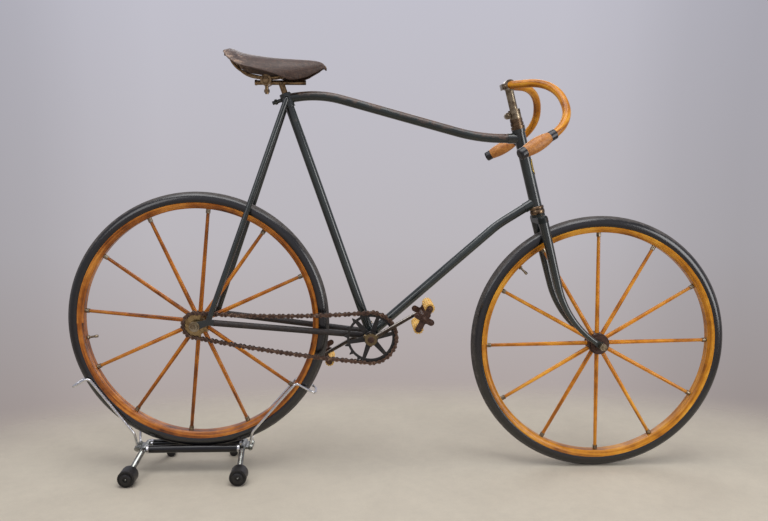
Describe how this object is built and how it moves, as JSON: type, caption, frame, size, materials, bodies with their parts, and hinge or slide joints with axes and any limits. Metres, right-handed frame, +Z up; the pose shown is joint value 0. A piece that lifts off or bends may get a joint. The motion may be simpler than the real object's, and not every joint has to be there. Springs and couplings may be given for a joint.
{
  "type": "safety bicycle",
  "caption": "Antique safety bicycle with wooden rims, spokes and drop handlebar, fixed block-chain drive and leather saddle, held upright by a tubular rear-wheel display stand.",
  "frame": {"origin": "on the floor under the middle of the wheelbase, in the mid-plane", "axes": "+X forward along the bicycle, +Y to the rider's left, +Z up"},
  "size_m": [1.8158, 0.5078, 1.1544],
  "materials": {
    "frame_paint": "worn dark green-black enamel with brown rubbed patches",
    "tarnished_nickel": "tarnished nickel plate",
    "axle_steel": "yellowed nickel",
    "rusted_steel": "brown rust over steel",
    "tarnished_brass": "dull brass",
    "ring_paint": "worn dark enamel",
    "front_wheel_wood": "varnished golden hickory",
    "rear_wheel_wood": "varnished red-brown hickory",
    "bar_wood": "varnished bent ash",
    "grip_cork": "mottled cork",
    "grip_black": "polished black hard rubber",
    "tyre_rubber": "aged black rubber",
    "saddle_hide": "worn dark brown hide",
    "pedal_rubber": "yellowed cream rubber",
    "stand_black": "gloss black",
    "stand_chrome": "bright chrome",
    "stand_rubber": "black rubber"
  },
  "bodies": {
    "frame": {"bottom_bracket_shell": "frame_paint", "seat_cluster": "frame_paint", "seat_tube": "frame_paint", "top_tube": "frame_paint", "down_tube": "frame_paint", "head_tube": "frame_paint", "rear_fork_ends": "tarnished_nickel", "seat_stays": "frame_paint", "chain_stays": "frame_paint", "rear_axle": "axle_steel", "chain": "rusted_steel", "seat_post": "tarnished_nickel", "saddle_leather": "saddle_hide", "saddle_wires": "rusted_steel", "saddle_clamp": "rusted_steel", "stand_bars": "stand_black", "stand_front_leg": "stand_chrome", "stand_front_feet": "stand_rubber", "stand_rear_leg": "stand_chrome", "stand_rear_feet": "stand_rubber", "stand_front_loop": "stand_chrome", "stand_rear_loop": "stand_chrome"},
    "steering": {"fork_crown": "frame_paint", "fork_blades": "frame_paint", "fork_tips": "tarnished_nickel", "front_axle": "axle_steel", "headset": "rusted_steel", "stem": "tarnished_nickel", "stem_collar": "tarnished_nickel", "handlebar": "bar_wood", "grips": "grip_cork", "grip_caps": "grip_black", "bar_ferrules": "grip_black"},
    "front_wheel": {"front_tyre": "tyre_rubber", "front_rim": "front_wheel_wood", "front_hub": "rusted_steel", "front_spokes": "front_wheel_wood", "front_spoke_ferrules": "tarnished_brass", "front_valve": "tarnished_brass"},
    "rear_wheel": {"rear_tyre": "tyre_rubber", "rear_rim": "rear_wheel_wood", "rear_hub": "tarnished_brass", "rear_spokes": "rear_wheel_wood", "rear_spoke_ferrules": "tarnished_brass", "rear_valve": "tarnished_brass", "rear_sprocket": "tarnished_brass"},
    "cranks": {"bracket_axle": "tarnished_nickel", "chainring": "ring_paint", "right_crank": "tarnished_nickel", "left_crank": "tarnished_nickel"},
    "right_pedal": {"right_pedal_frame": "rusted_steel", "right_pedal_blocks": "pedal_rubber"},
    "left_pedal": {"left_pedal_frame": "rusted_steel", "left_pedal_blocks": "pedal_rubber"}
  },
  "joints": [
    {"name": "steering_turn", "type": "hinge", "parent": "frame", "child": "steering", "pos_m": [0.47524, 0, 0.33565], "axis": [-0.2504, 0, 0.9681], "range_deg": [-70, 70]},
    {"name": "front_wheel_turn", "type": "hinge", "parent": "steering", "child": "front_wheel", "pos_m": [0.5524, 0, 0.3556], "axis": [0, 1, 0], "continuous": true},
    {"name": "rear_wheel_turn", "type": "hinge", "parent": "frame", "child": "rear_wheel", "pos_m": [-0.5524, 0, 0.4236], "axis": [0, 1, 0], "continuous": true},
    {"name": "crank_turn", "type": "hinge", "parent": "frame", "child": "cranks", "pos_m": [-0.0825, 0, 0.3856], "axis": [0, 1, 0], "continuous": true},
    {"name": "right_pedal_turn", "type": "hinge", "parent": "cranks", "child": "right_pedal", "pos_m": [0.05117, -0.12, 0.46247], "axis": [0, 1, 0], "continuous": true},
    {"name": "left_pedal_turn", "type": "hinge", "parent": "cranks", "child": "left_pedal", "pos_m": [-0.21618, 0.12, 0.30873], "axis": [0, 1, 0], "continuous": true}
  ],
  "couplings": [
    {"joint": "crank_turn", "follows": "rear_wheel_turn", "ratio": 0.47059}
  ]
}
